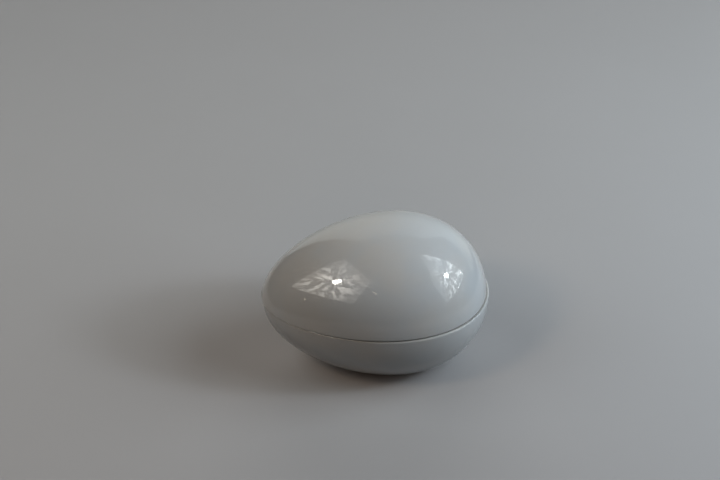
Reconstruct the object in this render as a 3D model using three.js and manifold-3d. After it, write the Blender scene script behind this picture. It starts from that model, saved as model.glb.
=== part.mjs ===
// Egg-shaped porcelain trinket box: two half shells, a base that stands on a flat foot and a
// lid that drops over a low locating lip. The egg lies on its side, cut level just above its
// long axis.
//
// Millimetres, +Z up. The pointed end is towards -X and the blunt end towards +X. The origin
// is under the middle of the box, on the surface that it stands on.

import * as THREE from 'three';
import { mergeVertices } from 'three/addons/utils/BufferGeometryUtils.js';
import Module from 'manifold-3d';

const manifold = await Module();
manifold.setup();

// ---- Driving dimensions -------------------------------------------------------------------

const EGG_LENGTH = 110; // tip to tip
const EGG_BREADTH = 80; // across its widest point
const EGG_TAPER = 0.17; // 0 is an ellipse, and more makes the blunt end fuller
const FOOT_CUT = 4; // depth of belly that the flat foot cuts away
const SEAM_ABOVE_AXIS = 1.5; // the base's rim, above the egg's long axis

const WALL = 3.2; // thickness of both shells and of the ledge under the rim
const RIM_ROUND = 0.9; // softened outer edge of each rim
const LIP_HEIGHT = 3.5; // locating lip, above the base's rim
const LIP_THICKNESS = 1.8;
const LEDGE_VAULT = 6; // height in which the inside curves out from the ledge to the wall
const FOOT_RECESS = 0.8; // depth of the hollow inside the foot ring
const FOOT_RING_INSET = 1.7; // its ceiling has the outline of an egg this much smaller
const FOOT_RECESS_ROUND = 0.5; // where the hollow's side meets its ceiling

// Clearances
const LIP_CLEARANCE = 1.7; // all round, between the lip and the inside of the lid
const LIP_GAP_LEFT = 0.5; // of that, what is left where the lid sits hard over to one end
const SEAT_GAP = 0.3; // between the lid's rim and the base's rim

// Fineness of the facets
const PROFILE_STEPS = 32; // from tip to tip
const ROUND_STEPS = 40; // around the long axis
const EDGE_STEPS = 3; // across a rounded edge

// ---- Places worked out from them ----------------------------------------------------------

const AXIS_HEIGHT = EGG_BREADTH / 2 - FOOT_CUT; // the long axis, above the table
const SEAM_HEIGHT = AXIS_HEIGHT + SEAM_ABOVE_AXIS;
const FLOOR_HEIGHT = FOOT_RECESS + WALL; // the inside floor
const LIP_OUTSIDE = WALL + LIP_CLEARANCE; // inset of the lip's outer face
const LIP_INSIDE = LIP_OUTSIDE + LIP_THICKNESS; // inset of the lip's inner face
const LID_OFFSET = LIP_CLEARANCE - LIP_GAP_LEFT; // the lid rests this far towards the point
const REACH = EGG_LENGTH + EGG_BREADTH; // longer than anything here, for cutting blocks
const OVERRUN = 0.5; // how far a cutting shape runs past what it cuts
const SKIN = 0.05; // the same, where it runs beside a surface that it mustn't touch

// ---- The egg ------------------------------------------------------------------------------

const HALF_LENGTH = EGG_LENGTH / 2;
const WIDEST = Math.acos((1 - Math.sqrt(1 + 8 * EGG_TAPER ** 2)) / (4 * EGG_TAPER));
const RADIUS_SCALE = EGG_BREADTH / 2 / (Math.sin(WIDEST) * (1 - EGG_TAPER * Math.cos(WIDEST)));

// Half outline of the egg, from the pointed tip to the blunt tip, moved inwards by an inset
// that is square to the surface. x is the radius and y the distance along the long axis.
function eggProfile(inset) {
  const points = [];
  for (let i = 0; i <= PROFILE_STEPS; i += 1) {
    const turn = (Math.PI * i) / PROFILE_STEPS;
    const radius = RADIUS_SCALE * Math.sin(turn) * (1 - EGG_TAPER * Math.cos(turn));
    const along = -HALF_LENGTH * Math.cos(turn);
    const slope = new THREE.Vector2(
      RADIUS_SCALE * (Math.cos(turn) - EGG_TAPER * Math.cos(2 * turn)),
      HALF_LENGTH * Math.sin(turn),
    ).normalize();
    const onAxis = i === 0 || i === PROFILE_STEPS;
    points.push(new THREE.Vector2(
      onAxis ? 0 : radius - inset * slope.y,
      along + inset * slope.x,
    ));
  }
  return points;
}

// Whole egg, moved inwards by an inset, lying along X at its height above the table.
function eggSolid(inset) {
  const geometry = new THREE.LatheGeometry(eggProfile(inset), ROUND_STEPS);
  geometry.rotateZ(-Math.PI / 2);
  geometry.translate(0, 0, AXIS_HEIGHT);
  return toSolid(geometry);
}

// Outline, seen from above, of the level cut through that egg at a distance off its long axis.
function levelCut(inset, offAxis) {
  const profile = eggProfile(inset);
  const side = [];
  for (let i = 0; i <= PROFILE_STEPS; i += 1) {
    const { x: radius, y: along } = profile[i];
    if (radius >= offAxis) {
      side.push(new THREE.Vector2(along, Math.sqrt(radius ** 2 - offAxis ** 2)));
    }
    const next = profile[i + 1];
    if (next && radius < offAxis !== next.x < offAxis) {
      const share = (offAxis - radius) / (next.x - radius);
      side.push(new THREE.Vector2(along + share * (next.y - along), 0));
    }
  }
  const otherSide = side.slice(1, -1).map((point) => new THREE.Vector2(point.x, -point.y));
  return new THREE.Shape([...side, ...otherSide.reverse()]);
}

// Upright column whose ends have the given outline. Away from them it rounds out by `growth`,
// over the height `roundHeight`.
function roundedColumn(outline, growth, roundHeight, bottom, top) {
  const geometry = new THREE.ExtrudeGeometry(outline, {
    depth: top - bottom - 2 * roundHeight,
    bevelEnabled: true,
    bevelSize: growth,
    bevelThickness: roundHeight,
    bevelSegments: EDGE_STEPS,
  });
  geometry.translate(0, 0, bottom + roundHeight);
  return toSolid(geometry);
}

// ---- Solids -------------------------------------------------------------------------------

// Closed solid of a geometry: its vertices are merged, and the flat triangles that a lathe
// leaves at its poles are dropped.
function toSolid(geometry) {
  geometry.deleteAttribute('normal');
  geometry.deleteAttribute('uv');
  const merged = mergeVertices(geometry, 1e-4);
  const index = merged.index.array;
  const triangles = [];
  for (let i = 0; i < index.length; i += 3) {
    const [a, b, c] = index.subarray(i, i + 3);
    if (a !== b && b !== c && c !== a) {
      triangles.push(a, b, c);
    }
  }
  return new manifold.Manifold(new manifold.Mesh({
    numProp: 3,
    vertProperties: Float32Array.from(merged.attributes.position.array),
    triVerts: Uint32Array.from(triangles),
  }));
}

function toGeometry(solid) {
  const mesh = solid.getMesh();
  const geometry = new THREE.BufferGeometry();
  geometry.setAttribute('position', new THREE.BufferAttribute(mesh.vertProperties, 3));
  geometry.setIndex(new THREE.BufferAttribute(mesh.triVerts, 1));
  geometry.computeVertexNormals();
  return geometry;
}

// Block that keeps everything between two heights.
function layer(bottom, top) {
  const geometry = new THREE.BoxGeometry(REACH, REACH, top - bottom);
  geometry.translate(0, 0, (bottom + top) / 2);
  return toSolid(geometry);
}

// ---- Base ---------------------------------------------------------------------------------

function makeBase() {
  const belly = eggSolid(0)
    .intersect(layer(0, SEAM_HEIGHT))
    .intersect(rimColumn(-REACH, SEAM_HEIGHT));

  const lip = eggSolid(LIP_OUTSIDE)
    .intersect(layer(SEAM_HEIGHT - OVERRUN, SEAM_HEIGHT + LIP_HEIGHT));

  const ledgeUnderside = SEAM_HEIGHT - WALL;
  const vault = roundedColumn(
    levelCut(LIP_INSIDE, 0),
    LIP_INSIDE - WALL,
    LEDGE_VAULT,
    -REACH,
    ledgeUnderside,
  );
  const bowl = eggSolid(WALL).intersect(layer(FLOOR_HEIGHT, REACH)).intersect(vault);
  const mouth = eggSolid(LIP_INSIDE).intersect(layer(ledgeUnderside - OVERRUN, REACH));

  const footHollow = roundedColumn(
    levelCut(FOOT_RING_INSET, AXIS_HEIGHT),
    FOOT_RECESS_ROUND,
    FOOT_RECESS_ROUND,
    -REACH,
    FOOT_RECESS,
  );

  return belly.add(lip).subtract(bowl).subtract(mouth).subtract(footHollow);
}

// Column that softens the outer edge of a rim and touches nothing else of the egg.
function rimColumn(bottom, top) {
  return roundedColumn(levelCut(RIM_ROUND, 0), RIM_ROUND + SKIN, RIM_ROUND, bottom, top);
}

// ---- Lid ----------------------------------------------------------------------------------

function makeLid() {
  return eggSolid(0)
    .intersect(layer(SEAM_HEIGHT, REACH))
    .intersect(rimColumn(SEAM_HEIGHT, REACH))
    .subtract(eggSolid(WALL));
}

// ---- The box ------------------------------------------------------------------------------

const glaze = new THREE.MeshStandardMaterial({ color: 0xf1f0ec, roughness: 0.08, metalness: 0 });

function piece(name, solid, material, x, z) {
  const mesh = new THREE.Mesh(toGeometry(solid), material);
  mesh.name = name;
  mesh.position.set(x, 0, z);
  return mesh;
}

const box = new THREE.Group();
box.add(piece('base', makeBase(), glaze, LID_OFFSET / 2, 0));
box.add(piece('lid', makeLid(), glaze.clone(), -LID_OFFSET / 2, SEAT_GAP));

export default box;
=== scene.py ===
# %% [markdown]
# # A porcelain trinket box in the shape of an egg
#
# The box is two shells of fired clay under a clear glaze: a base that stands on a small foot, and
# a lid that is simply lifted off. Nothing else holds it together, so all of its looks come from
# two things: how exactly its curves run, and how the glaze shines.
#
# The lesson loads the solid model of the box as a frame, models both shells again with clean
# rings of faces around that frame, glazes them, and sets up a small studio to look at them in.

import math

import bmesh
import bpy
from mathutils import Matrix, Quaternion, Vector


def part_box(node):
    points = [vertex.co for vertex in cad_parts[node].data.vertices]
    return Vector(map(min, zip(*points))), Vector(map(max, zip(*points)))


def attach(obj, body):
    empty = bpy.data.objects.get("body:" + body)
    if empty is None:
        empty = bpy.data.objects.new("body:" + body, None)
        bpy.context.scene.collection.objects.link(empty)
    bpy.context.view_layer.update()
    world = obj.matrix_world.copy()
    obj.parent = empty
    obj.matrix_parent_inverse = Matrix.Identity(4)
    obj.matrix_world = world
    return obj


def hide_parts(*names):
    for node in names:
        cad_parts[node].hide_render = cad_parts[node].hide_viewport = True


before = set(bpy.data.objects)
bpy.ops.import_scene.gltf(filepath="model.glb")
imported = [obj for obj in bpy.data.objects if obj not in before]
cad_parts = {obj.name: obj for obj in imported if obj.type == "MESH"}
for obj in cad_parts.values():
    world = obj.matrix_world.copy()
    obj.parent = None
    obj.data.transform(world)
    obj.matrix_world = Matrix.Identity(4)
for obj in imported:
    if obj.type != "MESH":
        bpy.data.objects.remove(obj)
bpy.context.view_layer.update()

# %% [markdown]
# ## Sizes
#
# Everything is measured in metres. A few sizes can be read off the frame's two nodes, such as how
# long the egg is and how high it stands. The others are sizes that a potter chooses, such as the
# thickness of the wall, and they are given once, here.

# %% Sizes
MM = 0.001

EGG_TAPER = 0.17  # how much fuller the blunt end is than an ellipse
WALL = 3.2 * MM
LIP_HEIGHT = 3.5 * MM  # the locating lip, above the base's rim
LIP_THICKNESS = 1.8 * MM
LIP_INSET = 4.9 * MM  # from the outside of the rim to the lip
VAULT = 6.0 * MM  # height in which the inside curves out under the lip
FOOT_RECESS = 0.8 * MM
FOOT_RING = 3.5 * MM  # breadth of the ring that the box stands on

base_low, base_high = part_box("base")
lid_low, lid_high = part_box("lid")

half_length = (base_high.x - base_low.x) / 2
half_breadth = (base_high.y - base_low.y) / 2
base_shift = (base_high.x + base_low.x) / 2  # the lid's play is shared out between both shells
lid_shift = -base_shift
seam = base_high.z - LIP_HEIGHT  # the base's rim
lid_rim = lid_low.z
axis = lid_high.z - (lid_rim - seam) - half_breadth  # the egg's long axis, above the table
floor_inside = FOOT_RECESS + WALL

widest = (math.sqrt(1 + 8 * EGG_TAPER**2) - 1) / (4 * EGG_TAPER)
girth_radius = half_breadth / (math.sqrt(1 - widest**2) * (1 + EGG_TAPER * widest))
print(f"egg {2 * half_length:.4f} long, {2 * half_breadth:.4f} across, axis at {axis:.4f}")
print(f"seam at {seam:.4f}, lid rests {lid_rim - seam:.4f} above it")

# %% [markdown]
# ## Working in edit mode
#
# An operator acts on whatever is selected, just as it does under a modeller's hand. These helpers
# do the selecting: they open a piece in edit mode with nothing picked, and they pick its parts by
# where they are. Level loops of edges matter most here, because a rim, a lip and a foot are all
# made of them.

# %% Open a piece for modelling
SAME_LEVEL = 0.02 * MM
LEVEL_NORMAL = 0.9999
LOOKS_THAT_WAY = 0.9  # how nearly a face has to look a way to be picked for it


def clear_selection():
    """Leaves edit mode, with nothing selected."""
    if bpy.context.mode != "OBJECT":
        bpy.ops.object.mode_set(mode="OBJECT")
    bpy.ops.object.select_all(action="DESELECT")


def open_piece(piece, part="EDGE"):
    """Opens the piece in edit mode, ready to pick edges, faces or vertices."""
    clear_selection()
    piece.select_set(True)
    bpy.context.view_layer.objects.active = piece
    bpy.ops.object.mode_set(mode="EDIT")
    bpy.ops.mesh.select_mode(type=part)
    bpy.ops.mesh.select_all(action="DESELECT")


# %% Pick loops and faces by their level
def is_level(face):
    return abs(face.normal.z) > LEVEL_NORMAL


def level_loops(mesh, height):
    """The loops of edges that lie level at a height, the longest first.
    Edges in the middle of a level face, such as a grid's, don't count."""
    flat = {
        edge
        for edge in mesh.edges
        if all(abs(vertex.co.z - height) < SAME_LEVEL for vertex in edge.verts)
        and (edge.is_boundary or any(not is_level(face) for face in edge.link_faces))
    }
    loops = []
    while flat:
        loop = []
        fresh = [flat.pop()]
        while fresh:
            edge = fresh.pop()
            loop.append(edge)
            touching = {other for vertex in edge.verts for other in vertex.link_edges}
            near = touching & flat
            flat -= near
            fresh.extend(near)
        loops.append(loop)
    return sorted(loops, key=lambda loop: -sum(edge.calc_length() for edge in loop))


def pick_loop(piece, height, place=0):
    """Picks one level loop: place 0 is the outermost at that height, and 1 the next one in."""
    mesh = bmesh.from_edit_mesh(piece.data)
    bpy.ops.mesh.select_all(action="DESELECT")
    for edge in level_loops(mesh, height)[place]:
        edge.select_set(True)
    bmesh.update_edit_mesh(piece.data)


def soften(piece, height, place, width, steps):
    """Rounds a level loop of edges over."""
    pick_loop(piece, height, place)
    bpy.ops.mesh.bevel(offset=width, segments=steps, affect="EDGES")


def pick_face(piece, height):
    """Picks the one many-sided face that lies level at a height."""
    mesh = bmesh.from_edit_mesh(piece.data)
    bpy.ops.mesh.select_mode(type="FACE")
    bpy.ops.mesh.select_all(action="DESELECT")
    for face in mesh.faces:
        level = abs(face.calc_center_median().z - height) < SAME_LEVEL
        face.select_set(level and len(face.verts) > 4)
    bmesh.update_edit_mesh(piece.data)


def pick_open_loops(piece):
    """Picks the edges that have a face on one side only."""
    mesh = bmesh.from_edit_mesh(piece.data)
    bpy.ops.mesh.select_mode(type="EDGE")
    for edge in mesh.edges:
        edge.select_set(edge.is_boundary)
    bmesh.update_edit_mesh(piece.data)


def cap_with_grid(piece, height):
    """Puts a grid of squares in place of the many-sided face at a height."""
    pick_face(piece, height)
    bpy.ops.mesh.delete(type="ONLY_FACE")
    bpy.ops.mesh.select_mode(type="EDGE")
    pick_loop(piece, height)
    bpy.ops.mesh.fill_grid(span=AROUND // 4)


# %% Press faces flat, and finish a shape
def flatten_faces(piece, way, height):
    """Presses the faces that look a given way exactly level at a height."""
    open_piece(piece, "FACE")
    mesh = bmesh.from_edit_mesh(piece.data)
    for face in mesh.faces:
        near = abs(face.calc_center_median().z - height) < MM
        face.select_set(near and face.normal.dot(way) > LOOKS_THAT_WAY)
    bmesh.update_edit_mesh(piece.data)
    bpy.ops.transform.resize(value=(1, 1, 0), center_override=(0, 0, height))
    bpy.ops.object.mode_set(mode="OBJECT")


def finish_shape(piece):
    """Shades the piece smooth, with the shine of its flat faces kept flat, and measures it."""
    clear_selection()
    piece.select_set(True)
    bpy.context.view_layer.objects.active = piece
    bpy.ops.object.shade_smooth()
    apply_modifier(piece, "WEIGHTED_NORMAL", keep_sharp=True)
    places = [vertex.co for vertex in piece.data.vertices]
    for letter, axis_number in zip("xyz", range(3)):
        low = min(place[axis_number] for place in places)
        high = max(place[axis_number] for place in places)
        print(f"{piece.name} {letter} from {low:.5f} to {high:.5f}")


def apply_modifier(piece, kind, **settings):
    """Gives the piece a modifier with those settings and applies it at once."""
    clear_selection()
    piece.select_set(True)
    bpy.context.view_layer.objects.active = piece
    modifier = piece.modifiers.new(kind.title(), kind)
    for name, value in settings.items():
        setattr(modifier, name, value)
    bpy.ops.object.modifier_apply(modifier=modifier.name)


# %% [markdown]
# ## The egg
#
# Both shells are parts of one egg that lies on its side. It could be a sphere cut by a plane, but
# a plane cuts the faces of a sphere into slivers, and a high gloss shows every one of them. Here
# the faces run in rings instead, and each ring comes out level, so that the seam and the foot are
# whole loops of edges.
#
# An egg is a ball that was stretched along X and then tapered. The taper lifts one end of a ring
# more than the other, so each ring starts a little tilted on the ball, by just as much as the
# taper will undo. The rings are extruded one after the other from a circle.

# %% Rings on the ball
AROUND = 160  # edges in a ring, which has to divide by four
TRIES = 48  # halvings, which find a ring's end far finer than it shows
OFF_LEVEL = 0.5 * MM  # the most that a ring's middle strays from level


def ring_end(side, level, radius):
    """Where the ball's outline reaches a level of the finished egg, on one side, -1 or 1."""
    near, far = 0.0, 1.0
    for _ in range(TRIES):
        along = (near + far) / 2
        rise = level / (radius * (1 + EGG_TAPER * side * along))
        if along**2 + rise**2 < 1:
            near = along
        else:
            far = along
    rise = level / (radius * (1 + EGG_TAPER * side * near))
    return Vector((side * near, 0, rise))


def ball_ring(level, radius):
    """Centre, radius and tilt of the ring on the ball that will be level in the egg."""
    left, right = ring_end(-1, level, radius), ring_end(1, level, radius)
    span = right - left
    return (left + right) / 2, span.length / 2, math.atan2(span.z, span.x)


def add_rings(name, levels, radius):
    """A tube of rings on the unit ball, one for each level, as a new piece."""
    clear_selection()
    centre, size, tilt = ball_ring(levels[0], radius)
    bpy.ops.mesh.primitive_circle_add(
        vertices=AROUND, radius=size, location=centre, rotation=(0, -tilt, 0)
    )
    piece = bpy.context.object
    piece.name = piece.data.name = name
    bpy.ops.object.transform_apply()
    bpy.ops.object.mode_set(mode="EDIT")
    bpy.ops.mesh.select_mode(type="EDGE")
    bpy.ops.mesh.select_all(action="SELECT")
    for level in levels[1:]:
        next_centre, next_size, next_tilt = ball_ring(level, radius)
        bpy.ops.mesh.extrude_edges_move(
            TRANSFORM_OT_translate={"value": next_centre - centre}
        )
        growth = next_size / size
        bpy.ops.transform.resize(value=(growth,) * 3, center_override=next_centre)
        bpy.ops.transform.rotate(
            value=next_tilt - tilt, orient_axis="Y", center_override=next_centre
        )
        centre, size, tilt = next_centre, next_size, next_tilt
    return piece


# %% From the ball to the egg
def egg_from_ball(piece, length, radius, shift):
    """Stretches and tapers the ball into the egg, and sets it at its place above the table."""
    open_piece(piece, "VERT")
    bpy.ops.mesh.select_all(action="SELECT")
    bpy.ops.transform.resize(value=(length, radius, radius), center_override=(0, 0, 0))
    bpy.ops.object.mode_set(mode="OBJECT")
    places = [vertex.co.x for vertex in piece.data.vertices]
    apply_modifier(
        piece,
        "SIMPLE_DEFORM",
        deform_method="TAPER",
        deform_axis="X",
        factor=EGG_TAPER * (max(places) - min(places)) / length,
    )
    open_piece(piece, "VERT")
    bpy.ops.mesh.select_all(action="SELECT")
    bpy.ops.transform.translate(value=(shift, 0, axis))
    bpy.ops.object.mode_set(mode="OBJECT")


def levels_between(first, last, steps):
    """Levels off the axis from first to last, evenly spread by angle round the egg."""
    start, end = math.asin(first / girth_radius), math.asin(last / girth_radius)
    return [
        girth_radius * math.sin(start + (end - start) * step / steps)
        for step in range(steps + 1)
    ]


def press_level(piece, height):
    """Presses the open loop that is nearest to a height exactly level there."""
    open_piece(piece, "VERT")
    mesh = bmesh.from_edit_mesh(piece.data)
    for vertex in mesh.verts:
        vertex.select_set(vertex.is_boundary and abs(vertex.co.z - height) < OFF_LEVEL)
    bmesh.update_edit_mesh(piece.data)
    bpy.ops.transform.resize(value=(1, 1, 0), center_override=(0, 0, height))
    bpy.ops.object.mode_set(mode="OBJECT")


# %% [markdown]
# ## The lid
#
# The lid is the egg's upper part, a plain dome. Its top could end in a fan of triangles, as a
# sphere does, but the fan would show as a star in the shine. A grid of squares closes it instead,
# and Cast rounds that grid onto the ball. The wall then grows inwards, because the outside is what
# the mould gave, and the rim is softened as a sponge leaves it.

# %% Model the lid
CROWN_LEVEL = 0.86  # where the grid takes over from the rings, as a share of the lid's height
LID_RINGS = 22

lid = add_rings(
    "lid_shell",
    levels_between(seam - axis, CROWN_LEVEL * half_breadth, LID_RINGS),
    girth_radius,
)
bpy.ops.mesh.fill_grid(span=AROUND // 4)
bpy.ops.object.mode_set(mode="OBJECT")
apply_modifier(lid, "CAST", cast_type="SPHERE", factor=1, radius=1, use_radius_as_size=True)
egg_from_ball(lid, half_length, girth_radius, lid_shift)
press_level(lid, seam)
print("dome top at", round(max(vertex.co.z for vertex in lid.data.vertices), 5))

# %% Give the lid its wall and soften its rim
RIM_ROUND = 0.9 * MM
INNER_ROUND = 0.6 * MM
ROUND_STEPS = 6

apply_modifier(lid, "SOLIDIFY", thickness=WALL, offset=-1, use_even_offset=True)
flatten_faces(lid, Vector((0, 0, -1)), seam)
open_piece(lid)
soften(lid, seam, 0, RIM_ROUND, ROUND_STEPS)
soften(lid, seam, 1, INNER_ROUND, ROUND_STEPS)
bpy.ops.mesh.select_all(action="SELECT")
bpy.ops.transform.translate(value=(0, 0, lid_rim - seam))
finish_shape(lid)

# %% [markdown]
# ## The base
#
# The base starts as the lower part of the same egg. Its rim is then filled with one face, which
# is inset to make the ledge, pulled up to make the locating lip, inset again for the lip's
# thickness and pushed down through the mouth. The bowl inside is a second, smaller run of rings,
# and bridging it to the mouth makes the vault under the ledge.

# %% Model the base's outside and its foot
BASE_RINGS = 20
FOOT_ROUND = 1.1 * MM
RECESS_ROUND = 0.35 * MM

base = add_rings("base_shell", levels_between(seam - axis, -axis, BASE_RINGS), girth_radius)
bpy.ops.object.mode_set(mode="OBJECT")
egg_from_ball(base, half_length, girth_radius, base_shift)
press_level(base, seam)
press_level(base, 0)

open_piece(base)
pick_loop(base, 0)
bpy.ops.mesh.edge_face_add()
soften(base, 0, 0, FOOT_ROUND, ROUND_STEPS)
pick_face(base, 0)
bpy.ops.mesh.inset(thickness=FOOT_RING)
bpy.ops.mesh.extrude_region_move(TRANSFORM_OT_translate={"value": (0, 0, FOOT_RECESS)})
soften(base, 0, 1, RECESS_ROUND, ROUND_STEPS)
cap_with_grid(base, FOOT_RECESS)
print("foot ring", FOOT_RING, "broad, around a hollow", FOOT_RECESS, "deep")

# %% Raise the lip
LEDGE_ROUND = 0.5 * MM
LIP_ROUND = 0.75 * MM

pick_loop(base, seam)
bpy.ops.mesh.edge_face_add()
soften(base, seam, 0, RIM_ROUND, ROUND_STEPS)
pick_face(base, seam)
bpy.ops.mesh.inset(thickness=LIP_INSET - RIM_ROUND)
bpy.ops.mesh.extrude_region_move(TRANSFORM_OT_translate={"value": (0, 0, LIP_HEIGHT)})
bpy.ops.mesh.inset(thickness=LIP_THICKNESS)
bpy.ops.mesh.extrude_region_move(
    TRANSFORM_OT_translate={"value": (0, 0, -LIP_HEIGHT - WALL)}
)
bpy.ops.mesh.delete(type="ONLY_FACE")
soften(base, seam, 1, LEDGE_ROUND, ROUND_STEPS)
soften(base, seam + LIP_HEIGHT, 1, LIP_ROUND, ROUND_STEPS)
soften(base, seam + LIP_HEIGHT, 0, LIP_ROUND, ROUND_STEPS)
print("lip top at", round(seam + LIP_HEIGHT, 5))

# %% Model the bowl and join it on
BOWL_RINGS = 16
FLOOR_ROUND = 4.0 * MM
VAULT_STEPS = 5

mouth_bottom = seam - WALL
bowl_top = mouth_bottom - VAULT
bowl = add_rings(
    "bowl",
    levels_between(bowl_top - axis, floor_inside - axis, BOWL_RINGS),
    girth_radius - WALL,
)
bpy.ops.object.mode_set(mode="OBJECT")
egg_from_ball(bowl, half_length - WALL, girth_radius - WALL, base_shift)
press_level(bowl, bowl_top)
press_level(bowl, floor_inside)
open_piece(bowl)
pick_loop(bowl, floor_inside)
bpy.ops.mesh.edge_face_add()
soften(bowl, floor_inside, 0, FLOOR_ROUND, ROUND_STEPS)
cap_with_grid(bowl, floor_inside)

clear_selection()
bowl.select_set(True)
base.select_set(True)
bpy.context.view_layer.objects.active = base
bpy.ops.object.join()
open_piece(base)
pick_open_loops(base)
bpy.ops.mesh.bridge_edge_loops(
    number_cuts=VAULT_STEPS, interpolation="SURFACE", smoothness=0.8
)
bpy.ops.mesh.select_all(action="SELECT")
bpy.ops.mesh.normals_make_consistent(inside=False)
finish_shape(base)

# %% [markdown]
# ## Where the pieces belong
#
# Each shell rides on the body of the frame that it stands for, so that lifting the lid's body
# lifts the lid. The frame's own solids are then hidden.

# %% Tie the pieces to the frame
for piece, body in ((base, "base"), (lid, "lid")):
    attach(piece, body)
    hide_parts(body)
    print(piece.name, "rides on", body)

# %% [markdown]
# ## A way to write down a finish
#
# A finish is a net of nodes, but most of it is plain arithmetic, and arithmetic is easier to read
# as arithmetic. A Wire is the output of a node, and adding or multiplying wires adds the Math
# nodes that do the same. Every other node comes from one method of Finish.

# %% Wires
class Wire:
    """The output of a node, which Python's own operators can work on."""

    def __init__(self, finish, socket):
        self.finish = finish
        self.socket = socket

    def math(self, operation, *values):
        return self.finish.node("Math", {"operation": operation}, dict(enumerate(values)))

    def __add__(self, other):
        return self.math("ADD", self, other)

    __radd__ = __add__

    def __sub__(self, other):
        return self.math("SUBTRACT", self, other)

    def __rsub__(self, other):
        return self.math("SUBTRACT", other, self)

    def __mul__(self, other):
        return self.math("MULTIPLY", self, other)

    __rmul__ = __mul__

    def __abs__(self):
        return self.math("ABSOLUTE", self)

    def fade(self, start, end):
        """0 where this wire is at start, 1 where it is at end, and smooth between them."""
        return self.finish.node(
            "MapRange",
            {"interpolation_type": "SMOOTHSTEP"},
            {"Value": self, "From Min": start, "From Max": end},
        )


# %% Finishes
class Finish:
    """A material in the making."""

    def __init__(self, name):
        self.material = bpy.data.materials.new(name)
        self.material.use_nodes = True
        self.tree = self.material.node_tree
        self.tree.nodes.clear()
        self.place = self.node("TexCoord", output="Object")

    def node(self, kind, settings=None, sockets=None, output=0):
        """Adds a node, sets it up, feeds its sockets and gives back one of its outputs, if any."""
        node = self.tree.nodes.new("ShaderNode" + kind)
        for name, value in (settings or {}).items():
            setattr(node, name, value)
        for name, value in (sockets or {}).items():
            if isinstance(value, Wire):
                self.tree.links.new(value.socket, node.inputs[name])
            else:
                node.inputs[name].default_value = value
        return Wire(self, node.outputs[output]) if node.outputs else None

    def noise(self, size, detail=2.0, roughness=0.5):
        """Soft clouds, with patches of a given size in metres."""
        sockets = {
            "Vector": self.place,
            "Scale": 1 / size,
            "Detail": detail,
            "Roughness": roughness,
        }
        return self.node("TexNoise", None, sockets, "Fac")

    def blend(self, share, first, second):
        """One colour where share is 0, and the other where it is 1."""
        sockets = {"Factor": share, 6: first, 7: second}
        return self.node("Mix", {"data_type": "RGBA"}, sockets, 2)

    def surface(self, sockets):
        """Finishes the material with one Principled shader."""
        shader = self.node("BsdfPrincipled", None, sockets)
        self.node("OutputMaterial", None, {"Surface": shader})
        return self.material


# %% [markdown]
# ## Glazed porcelain
#
# Porcelain is a white body under a clear glaze. Light that enters comes back from the body, a
# little warmer or cooler from place to place, and light that doesn't enter is mirrored by the
# glaze. So the body is a matt white, and the glaze is a coat with a very small roughness. The coat
# is left off where the clay has to stay bare in the kiln: on the ring that the box stands on, and
# on the two seats where lid and base would otherwise fuse.
#
# A perfect mirror looks like plastic. A fired glaze has settled in slow waves, it is thinner along
# a rim, and it has an odd pinhole or speck of iron.

# %% Tones and grain of the porcelain
BODY_WARM = (0.77, 0.755, 0.73, 1)
BODY_COOL = (0.74, 0.75, 0.75, 1)
BODY_THIN = (0.72, 0.71, 0.68, 1)
# Bare clay: partly its own duller grey, partly painted shade, darker than the clay itself so that
# the seam between lid and base shows as a dark line. The foot ring gets the same tone.
BARE_CLAY_AND_SEAM_SHADE = (0.57, 0.55, 0.52, 1)
SPECK = (0.23, 0.18, 0.13, 1)
THIN_SHOWS = 0.5  # share of its own tone that the body shows where the glaze is thin
SPECK_SHOWS = 0.8

PATCH = 28 * MM  # size of the slow changes in tone
WAVE = 11 * MM  # length of the waves in the glaze
WAVE_DEPTH = 0.010 * MM
GRAIN = 0.25 * MM  # of bare clay
GRAIN_DEPTH = 0.015 * MM
SPECK_SPACING = 9 * MM
SPECK_SIZE = 0.14 * MM
SPECK_DEPTH = 0.02 * MM
RARE = 0.80  # share of places for a speck that stay empty

SEAT_EDGE = 0.12 * MM  # how near to the level of the seat bare clay goes
THIN_EDGE = 0.9 * MM  # how near to the level of the seat the glaze starts to thin
THIN_CORE = 0.2 * MM  # and how near it is thinnest
FOOT_BARE = 0.35 * MM  # height below which the foot loses its glaze
FOOT_WANDER = 4 * MM  # the edge of the glaze on the foot isn't quite level
FOOT_STRAY = 0.3 * MM
FOOT_FADE = 0.6  # share of that height below which the foot is wholly bare
SEAT_LEVEL = (0.97, 0.995)  # how level a face of the seat has to lie
PATCH_FADE = (0.35, 0.65)  # from the warmer tone to the cooler one

GLAZE_ROUGHNESS = 0.006
GLAZE_INDEX = 1.5
BODY_SHINE = 0.2
BODY_ROUGHNESS = 0.32
CLAY_ROUGHER = 0.4
PATCH_ROUGHER = 0.06
print("glaze roughness", GLAZE_ROUGHNESS, "and index", GLAZE_INDEX)


# %% What the glaze is made of
def specks(finish):
    """1 in the few small spots that are a pinhole or a speck, and 0 elsewhere."""
    grid = {"Vector": finish.place, "Scale": 1 / SPECK_SPACING}
    reach = SPECK_SIZE / SPECK_SPACING
    spots = finish.node("TexVoronoi", None, grid, "Distance").fade(reach, reach / 2)
    chance = finish.node("TexVoronoi", None, grid, "Color")
    chance = finish.node("SeparateColor", None, {0: chance}, 0)
    return spots * chance.math("GREATER_THAN", chance, RARE)


def bare_clay(finish, height, off_seat, seat_way):
    """1 on the seat and the foot ring, where there is no glaze."""
    upright = finish.node("NewGeometry", output="True Normal")
    level = finish.node("SeparateXYZ", None, {0: upright}, "Z") * seat_way
    on_seat = off_seat.fade(SEAT_EDGE, SEAT_EDGE / 2) * level.fade(*SEAT_LEVEL)
    wander = height + finish.noise(FOOT_WANDER) * FOOT_STRAY
    on_foot = wander.fade(FOOT_BARE, FOOT_BARE * FOOT_FADE)
    return on_seat.math("MAXIMUM", on_seat, on_foot)


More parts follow.
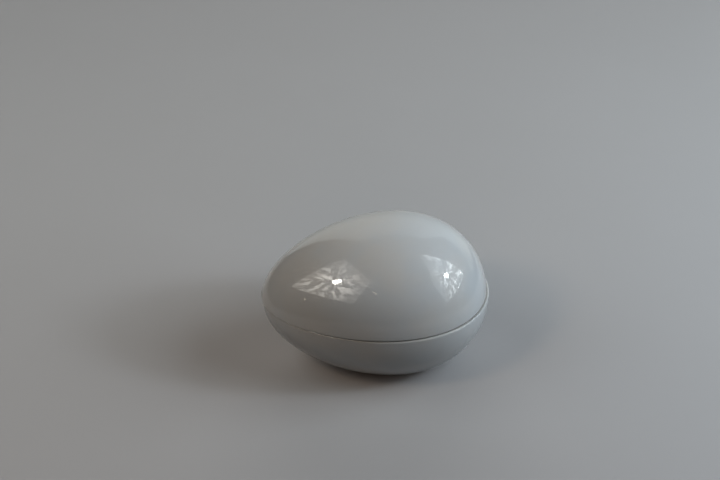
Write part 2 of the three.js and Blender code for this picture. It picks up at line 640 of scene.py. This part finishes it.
def glazed_porcelain(name, seat, seat_way):
    """White porcelain in a clear glaze, bare on a seat that looks up (1) or down (-1)."""
    finish = Finish(name)
    height = finish.node("SeparateXYZ", None, {0: finish.place}, "Z")
    off_seat = abs(height - seat)
    patches = finish.noise(PATCH)
    bare = bare_clay(finish, height, off_seat, seat_way)
    thin = off_seat.fade(THIN_EDGE, THIN_CORE) * (1 - bare)
    speck = specks(finish)

    tone = finish.blend(patches.fade(*PATCH_FADE), BODY_WARM, BODY_COOL)
    tone = finish.blend(thin * THIN_SHOWS, tone, BODY_THIN)
    tone = finish.blend(speck * SPECK_SHOWS, tone, SPECK)
    # Painted shade: the bare seats take the darker bare-clay tone, which deepens the dark line of
    # the seam, and the foot ring takes it too.
    tone = finish.blend(bare, tone, BARE_CLAY_AND_SEAM_SHADE)

    waves = finish.noise(WAVE, 1) * WAVE_DEPTH
    grit = finish.noise(GRAIN, 3) * bare * GRAIN_DEPTH
    relief = {"Height": waves + grit - speck * SPECK_DEPTH, "Distance": 1, "Strength": 1}
    return finish.surface(
        {
            "Base Color": tone,
            "Roughness": BODY_ROUGHNESS + bare * CLAY_ROUGHER + patches * PATCH_ROUGHER,
            "IOR": GLAZE_INDEX,
            "Specular IOR Level": BODY_SHINE,
            "Coat Weight": 1 - bare,
            "Coat Roughness": GLAZE_ROUGHNESS,
            "Coat IOR": GLAZE_INDEX,
            "Normal": finish.node("Bump", None, relief, "Normal"),
        }
    )


# %% Glaze both shells
def cover(piece, material):
    """Gives the piece that material and no other."""
    piece.data.materials.clear()
    piece.data.materials.append(material)


cover(lid, glazed_porcelain("lid_glaze", lid_rim, -1))
cover(base, glazed_porcelain("base_glaze", seam, 1))
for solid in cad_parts.values():
    cover(solid, lid.data.materials[0])
print("glazed:", lid.name, "and", base.name)

# %% [markdown]
# ## The card that the box stands on
#
# The box stands on a round table of pale card, with painted light that makes it a little lighter
# towards the back. Card throws light up at the belly. Here it throws back less than it shows,
# which keeps the underside deep, so the card is darker for light that comes off something matt.
# The glaze mirrors only a narrower strip of card, with the dark room beyond it.

# %% Make the card
# The near and far tones are painted shade and painted light: the card is darker at the front and
# lighter at the back.
CARD_SHADED_NEAR = (0.505, 0.505, 0.51, 1)
CARD_LIT_FAR = (0.645, 0.645, 0.645, 1)
CARD_MOTTLE = (0.50, 0.50, 0.48, 1)
CARD_START, CARD_END = -0.20, 0.28  # from where to where, along Y, the painted light makes it lighter
CARD_BOUNCE = (0.24, 0.24, 0.24, 1)
MOTTLE_SIZE = 60 * MM
MOTTLE_SHOWS = 0.12
FIBRE_SIZE = 0.8 * MM
FIBRE_DEPTH = 0.02 * MM
CARD_ROUGHNESS = 0.85
CARD_SHINE = 0.2


def pale_card():
    """Matt off-white card, faintly mottled, with a short fibre, and painted light that makes it
    lighter towards the back.
    """
    finish = Finish("pale_card")
    mottle = finish.noise(MOTTLE_SIZE, 4)
    fibre = finish.noise(FIBRE_SIZE, 3)
    depth = finish.node("SeparateXYZ", None, {0: finish.place}, "Y")
    bounced = finish.node("LightPath", output="Is Diffuse Ray")
    # Painted light: the tone fades from the shaded near tone to the lit far tone along Y.
    tone = finish.blend(depth.fade(CARD_START, CARD_END), CARD_SHADED_NEAR, CARD_LIT_FAR)
    tone = finish.blend(mottle * MOTTLE_SHOWS, tone, CARD_MOTTLE)
    tone = finish.blend(bounced, tone, CARD_BOUNCE)
    relief = {"Height": fibre * FIBRE_DEPTH, "Distance": 1}
    return finish.surface(
        {
            "Base Color": tone,
            "Roughness": CARD_ROUGHNESS,
            "Specular IOR Level": CARD_SHINE,
            "Normal": finish.node("Bump", None, relief, "Normal"),
        }
    )


card = pale_card()
print("card has", len(card.node_tree.nodes), "nodes")

# %% Lay the table
TABLE_RADIUS = 0.9
TABLE_AROUND = 96
MIRRORED_BREADTH = 0.46
MIRRORED_LENGTH = 0.80
MIRRORED_BACK = 0.05  # how far its middle lies behind the box
MIRRORED_LIFT = 0.05 * MM

clear_selection()
bpy.ops.mesh.primitive_circle_add(
    vertices=TABLE_AROUND, radius=TABLE_RADIUS, fill_type="NGON"
)
table = bpy.context.object
table.name = table.data.name = "table"
table.visible_glossy = False

clear_selection()
bpy.ops.mesh.primitive_plane_add(size=1, location=(0, MIRRORED_BACK, MIRRORED_LIFT))
mirrored_card = bpy.context.object
mirrored_card.name = mirrored_card.data.name = "mirrored_card"
mirrored_card.scale = (MIRRORED_BREADTH, MIRRORED_LENGTH, 1)
mirrored_card.visible_camera = mirrored_card.visible_diffuse = False
mirrored_card.visible_shadow = False

cover(table, card)
cover(mirrored_card, card)
print("table", TABLE_RADIUS * 2, "across")

# %% [markdown]
# ## The cove
#
# From low down the edge of the table shows. A cove that rises all round it gives every side the
# same quiet background. Its outline goes out level, round a quarter circle and straight up, so it
# is extruded from a ring and grown at each step. It is there for the camera only, so it has a
# faint glow of its own that lights nothing.

# %% Raise the cove
COVE_RADIUS = 1.5  # where the floor starts to rise
COVE_CURVE = 0.5
COVE_HEIGHT = 1.6
COVE_STEPS = 12
COVE_GLOW = 0.26
COVE_TINT = (0.97, 0.98, 1.0, 1)


def glow(finish, tint, strength):
    """Makes a finish shine with that strength, without lighting anything that is matt."""
    light = finish.node("Emission", None, {"Color": tint, "Strength": strength})
    finish.node("OutputMaterial", None, {"Surface": light})
    finish.material.cycles.emission_sampling = "NONE"
    return finish.material


def cove_outline():
    """Distance from the middle and height of each step of the cove."""
    outline = []
    for step in range(COVE_STEPS + 1):
        bend = math.radians(90) * step / COVE_STEPS
        reach = COVE_RADIUS + COVE_CURVE * math.sin(bend)
        outline.append((reach, COVE_CURVE * (1 - math.cos(bend))))
    outline.append((COVE_RADIUS + COVE_CURVE, COVE_HEIGHT))
    return outline


clear_selection()
bpy.ops.mesh.primitive_circle_add(vertices=TABLE_AROUND, radius=TABLE_RADIUS)
cove = bpy.context.object
cove.name = cove.data.name = "cove"
bpy.ops.object.mode_set(mode="EDIT")
bpy.ops.mesh.select_mode(type="EDGE")
bpy.ops.mesh.select_all(action="SELECT")
reach, rise = TABLE_RADIUS, 0.0
for next_reach, next_rise in cove_outline():
    bpy.ops.mesh.extrude_edges_move(
        TRANSFORM_OT_translate={"value": (0, 0, next_rise - rise)}
    )
    growth = next_reach / reach
    bpy.ops.transform.resize(
        value=(growth, growth, 1), center_override=(0, 0, next_rise)
    )
    reach, rise = next_reach, next_rise
bpy.ops.object.mode_set(mode="OBJECT")
bpy.ops.object.shade_smooth()
cove.visible_diffuse = cove.visible_glossy = cove.visible_shadow = False
cover(cove, glow(Finish("cove_glow"), COVE_TINT, COVE_GLOW))

print("cove rises to", COVE_HEIGHT)

# %% [markdown]
# ## The lamps
#
# Soft lamps at both sides and behind light the box, and a smaller bulb at each side firms up the
# shadows. None of them mirrors in the glaze. One more lamp, at the front, lights only the card.

# %% Hang the lamps
LAMPS = (  # name, azimuth, height, distance, size, watts, tint
    ("left_side", 180, 45, 0.80, 0.60, 0.97, (0.91, 0.98, 1.00)),
    ("left_bulb", -148, 47, 0.80, 0.15, 0.60, (1.00, 0.75, 0.55)),
    ("right_side", -10, 35, 0.80, 0.60, 2.85, (0.83, 0.93, 1.00)),
    ("right_bulb", -17, 32, 0.80, 0.12, 0.94, (0.82, 0.90, 1.00)),
    ("back", 83, 20, 1.20, 1.00, 3.50, (1.00, 0.96, 0.93)),
    ("table_front", -96, 30, 1.00, 0.60, 0.79, (1.00, 0.73, 0.57)),
)

box_middle = Vector((0, 0, axis))


def towards(azimuth, height):
    """Direction with that compass angle from +X and that height, in degrees."""
    turn, rise = math.radians(azimuth), math.radians(height)
    level = math.cos(rise)
    return Vector((math.cos(turn) * level, math.sin(turn) * level, math.sin(rise)))


def turn_to(way):
    """The turn that makes a flat thing look that way, with its top upwards."""
    return way.to_track_quat("Z", "Y")


def hang_lamp(name, azimuth, height, distance, size, watts, tint):
    """A soft square lamp that looks at the box and isn't mirrored in it."""
    data = bpy.data.lights.new(name, "AREA")
    data.shape = "SQUARE"
    data.size = size
    data.energy = watts
    data.color = tint
    lamp = bpy.data.objects.new(name, data)
    bpy.context.scene.collection.objects.link(lamp)
    way = towards(azimuth, height)
    lamp.location = box_middle + way * distance
    lamp.rotation_mode = "QUATERNION"
    lamp.rotation_quaternion = turn_to(way)
    lamp.visible_glossy = False
    return lamp


hung = {lamp[0]: hang_lamp(*lamp) for lamp in LAMPS}
only_table = bpy.data.collections.new("only_table")
only_table.objects.link(table)
only_table.objects.link(mirrored_card)
hung["table_front"].light_linking.receiver_collection = only_table
print("lamps:", ", ".join(hung))

# %% [markdown]
# ## What the glaze mirrors
#
# A glossy white thing is mostly a picture of its surroundings. Here they are hung up where only a
# shine can see them: two reflectors of folded foil, each with its bulb, white paper behind the
# box, and a string of far bulbs. The reflectors make the two bright patches on the lid, and the
# paper makes the pale band along its far edge. Each is a flat shape with a glow of its own.

# %% Light in foil and paper
BULB_GLOW = 30.0
FOIL_GLOW = 1.0
FOIL_LEAST = 0.7  # share of that glow between the folds, and how much the hem adds
FOLD_GLOW = 4.6
FOLD_FAR = 0.15  # share of that glow far from the bulb
FOLD_SCALE = 4.0  # fineness of the folds
FOLD_BEND = 0.9  # how much the folds bend
FOLD_FADE = (0.50, 0.62)  # from between the folds to a fold
BULB_REACH = (0.62, 0.08)  # from out of the bulb's reach to close by, as shares of the sheet
HEM_FADE = (0.480, 0.490)  # from the sheet to its hem, measured from its middle
FAN_PULL = 0.42  # how much the folds run straight away from the bulb
PAPER_GLOW = 0.34
PAPER_LEAST = 0.85  # share of that glow in the middle
PAPER_GAIN = 0.6  # what its sides have more
PAPER_SIDE = (0.10, 0.42)  # from its middle to its sides, as shares of its breadth
WARM = (1.0, 0.96, 0.90, 1)
COOL = (0.90, 0.97, 1.0, 1)
PAPER = (0.92, 1.0, 0.99, 1)


def foil(name, tint, bulb):
    """Folded foil: streaks that fan out from the bulb, fainter away from it, and a bright hem."""
    finish = Finish(name)
    away = finish.node("VectorMath", {"operation": "SUBTRACT"}, {0: finish.place, 1: bulb}, 0)
    distance = finish.node("VectorMath", {"operation": "LENGTH"}, {0: away}, "Value")
    fan = finish.node("VectorMath", {"operation": "NORMALIZE"}, {0: away}, 0)
    pulled = {0: fan, 1: (FAN_PULL,) * 3, 2: away}
    folds = finish.node("VectorMath", {"operation": "MULTIPLY_ADD"}, pulled, 0)
    crumple = {
        "Vector": folds,
        "Scale": FOLD_SCALE,
        "Detail": 2.0,
        "Roughness": 0.5,
        "Distortion": FOLD_BEND,
    }
    bright = finish.node("TexNoise", None, crumple, "Fac").fade(*FOLD_FADE)
    reach = distance.fade(*BULB_REACH)
    across = abs(finish.node("SeparateXYZ", None, {0: finish.place}, "X"))
    along = abs(finish.node("SeparateXYZ", None, {0: finish.place}, "Y"))
    hem = across.math("MAXIMUM", across, along).fade(*HEM_FADE)
    even = FOIL_GLOW * (FOIL_LEAST + hem * FOIL_LEAST)
    return glow(finish, tint, even + bright * (FOLD_FAR + reach) * FOLD_GLOW)


def lit_paper(name):
    """White paper that is brighter towards its sides, where the lamps are."""
    finish = Finish(name)
    across = abs(finish.node("SeparateXYZ", None, {0: finish.place}, "X"))
    side = across.fade(*PAPER_SIDE)
    return glow(finish, PAPER, PAPER_GLOW * (PAPER_LEAST + side * PAPER_GAIN))


print("bulbs, foil and paper glow with", BULB_GLOW, FOIL_GLOW, PAPER_GLOW)

# %% Hang the reflectors
REFLECTOR_FAR = 0.8


def hang_mirrored(name, place, turn, breadth, height, material, corners=4):
    """A flat square or disc that only a shine sees."""
    clear_selection()
    if corners == 4:
        bpy.ops.mesh.primitive_plane_add(size=1)
    else:
        bpy.ops.mesh.primitive_circle_add(vertices=corners, radius=0.5, fill_type="NGON")
    flat = bpy.context.object
    flat.name = flat.data.name = name
    flat.location = place
    flat.rotation_mode = "QUATERNION"
    flat.rotation_quaternion = turn
    flat.scale = (breadth, height, 1)
    flat.visible_camera = flat.visible_diffuse = flat.visible_shadow = False
    cover(flat, material)
    return flat


def hang_reflector(name, way, look, roll, breadth, height, bulb_way, bulb_far, bulb_size, tint):
    """A foil reflector with its bulb just in front of it."""
    place = box_middle + way * REFLECTOR_FAR
    turn = turn_to(look) @ Quaternion((0, 0, 1), math.radians(roll))
    bulb = box_middle + bulb_way * bulb_far
    offset = turn.inverted() @ (bulb - place)
    spot = (offset.x / breadth, offset.y / height, 0)
    hang_mirrored(name, place, turn, breadth, height, foil(name + "_foil", tint, spot))
    light = glow(Finish(name + "_bulb"), tint, BULB_GLOW)
    hang_mirrored(name + "_bulb", bulb, turn_to(bulb_way), bulb_size, bulb_size, light, 24)
    print(name, "at", [round(x, 3) for x in place])


# %% Place both reflectors
hang_reflector(
    "left_reflector",
    way=towards(-142.4, 48.0),
    look=towards(-173.8, 14.5),
    roll=9.0,
    breadth=0.796,
    height=0.615,
    bulb_way=towards(-147.9, 46.7),
    bulb_far=0.70,
    bulb_size=0.075,
    tint=WARM,
)
hang_reflector(
    "right_reflector",
    way=towards(-30.5, 30.5),
    look=towards(35.4, 6.8),
    roll=-2.6,
    breadth=0.890,
    height=0.599,
    bulb_way=towards(-17.6, 32.2),
    bulb_far=0.54,
    bulb_size=0.055,
    tint=COOL,
)

# %% Hang the paper
PAPER_MIDDLE = Vector((0.12, 0.45, 0.36))
PAPER_BREADTH, PAPER_HEIGHT = 0.66, 0.80
TAIL_MIDDLE = Vector((0.80, 0.45, 0.16))
TAIL_BREADTH, TAIL_HEIGHT = 0.70, 0.40
TAIL_DROP = 0.30  # the tail's far upper corner hangs this much lower

paper = lit_paper("lit_paper")
paper_turn = turn_to(Vector((0, 1, 0)))
hang_mirrored("backdrop", PAPER_MIDDLE, paper_turn, PAPER_BREADTH, PAPER_HEIGHT, paper)
tail = hang_mirrored("backdrop_tail", TAIL_MIDDLE, paper_turn, TAIL_BREADTH, TAIL_HEIGHT, paper)
bpy.ops.object.mode_set(mode="EDIT")
bpy.ops.mesh.select_mode(type="VERT")
bpy.ops.mesh.select_all(action="DESELECT")
tail_mesh = bmesh.from_edit_mesh(tail.data)
for corner in tail_mesh.verts:
    spot = tail.matrix_world @ corner.co
    corner.select = spot.x > TAIL_MIDDLE.x and spot.z > TAIL_MIDDLE.z
tail_mesh.select_flush_mode()
bpy.ops.transform.translate(value=(0, 0, -TAIL_DROP))
bpy.ops.object.mode_set(mode="OBJECT")
print("paper", PAPER_BREADTH, "broad, with a tail that drops", TAIL_DROP)

# %% Hang the string of far bulbs
DOT_GLOW = 10.0
DOT_SIZE = 0.008
DOT_FAR = 0.5
DOT_TINT = (1.0, 0.85, 0.65, 1)
DOTS = (  # azimuth and height
    (-157.5, 16.0),
    (-156.0, 17.5),
    (-154.5, 16.5),
    (-155.2, 18.4),
    (-108.5, 37.0),
    (-107.0, 38.8),
    (-105.0, 36.5),
    (-103.0, 40.0),
    (-99.0, 37.5),
    (-92.0, 39.0),
    (129.0, -4.5),
)

dot_light = glow(Finish("far_bulb"), DOT_TINT, DOT_GLOW)
for number, (azimuth, height) in enumerate(DOTS):
    way = towards(azimuth, height)
    place = box_middle + way * DOT_FAR
    name = f"far_bulb_{number:02d}"
    hang_mirrored(name, place, turn_to(way), DOT_SIZE, DOT_SIZE, dot_light, 12)
print("far bulbs:", len(DOTS))

# %% Dim the room
ROOM_GLOW = 0.004

world = bpy.data.worlds.new("dim_room")
bpy.context.scene.world = world
world.use_nodes = True
room = world.node_tree.nodes["Background"]
room.inputs["Color"].default_value = (1, 1, 1, 1)
room.inputs["Strength"].default_value = ROOM_GLOW
print("room glow", ROOM_GLOW)

# %% [markdown]
# ## The camera
#
# The box is looked at from above its front, a little from its pointed end. A long lens far away
# keeps the egg's outline true.

# %% Camera
VIEW_AZIMUTH = 6.56  # degrees to the side
VIEW_HEIGHT = 36.86  # degrees above the table
VIEW_DISTANCE = 1.1665
LENS = 120  # millimetres, on a sensor 36 mm wide
AIM_SIDE = -7.84 * MM  # the aim, seen by the camera, from the middle of the egg
AIM_UP = 26.2 * MM

turn, rise = math.radians(VIEW_AZIMUTH), math.radians(VIEW_HEIGHT)
side = Vector((math.cos(turn), -math.sin(turn), 0))
upward = Vector((math.sin(rise) * math.sin(turn), math.sin(rise) * math.cos(turn), math.cos(rise)))
back = side.cross(upward)
aim = Vector((base_shift, 0, axis)) + side * AIM_SIDE + upward * AIM_UP

camera_data = bpy.data.cameras.new("camera")
camera_data.lens = LENS
camera = bpy.data.objects.new("camera", camera_data)
bpy.context.scene.collection.objects.link(camera)
camera.location = aim + back * VIEW_DISTANCE
camera.rotation_mode = "QUATERNION"
camera.rotation_quaternion = back.to_track_quat("Z", "Y")
bpy.context.scene.camera = camera
print("camera at", [round(x, 3) for x in camera.location])

# %% Contrast
EXPOSURE = 0.393
GAMMA = 0.77

tones = bpy.context.scene.view_settings
tones.view_transform = "Standard"
tones.exposure = EXPOSURE
tones.gamma = GAMMA
print("exposure", EXPOSURE, "gamma", GAMMA)
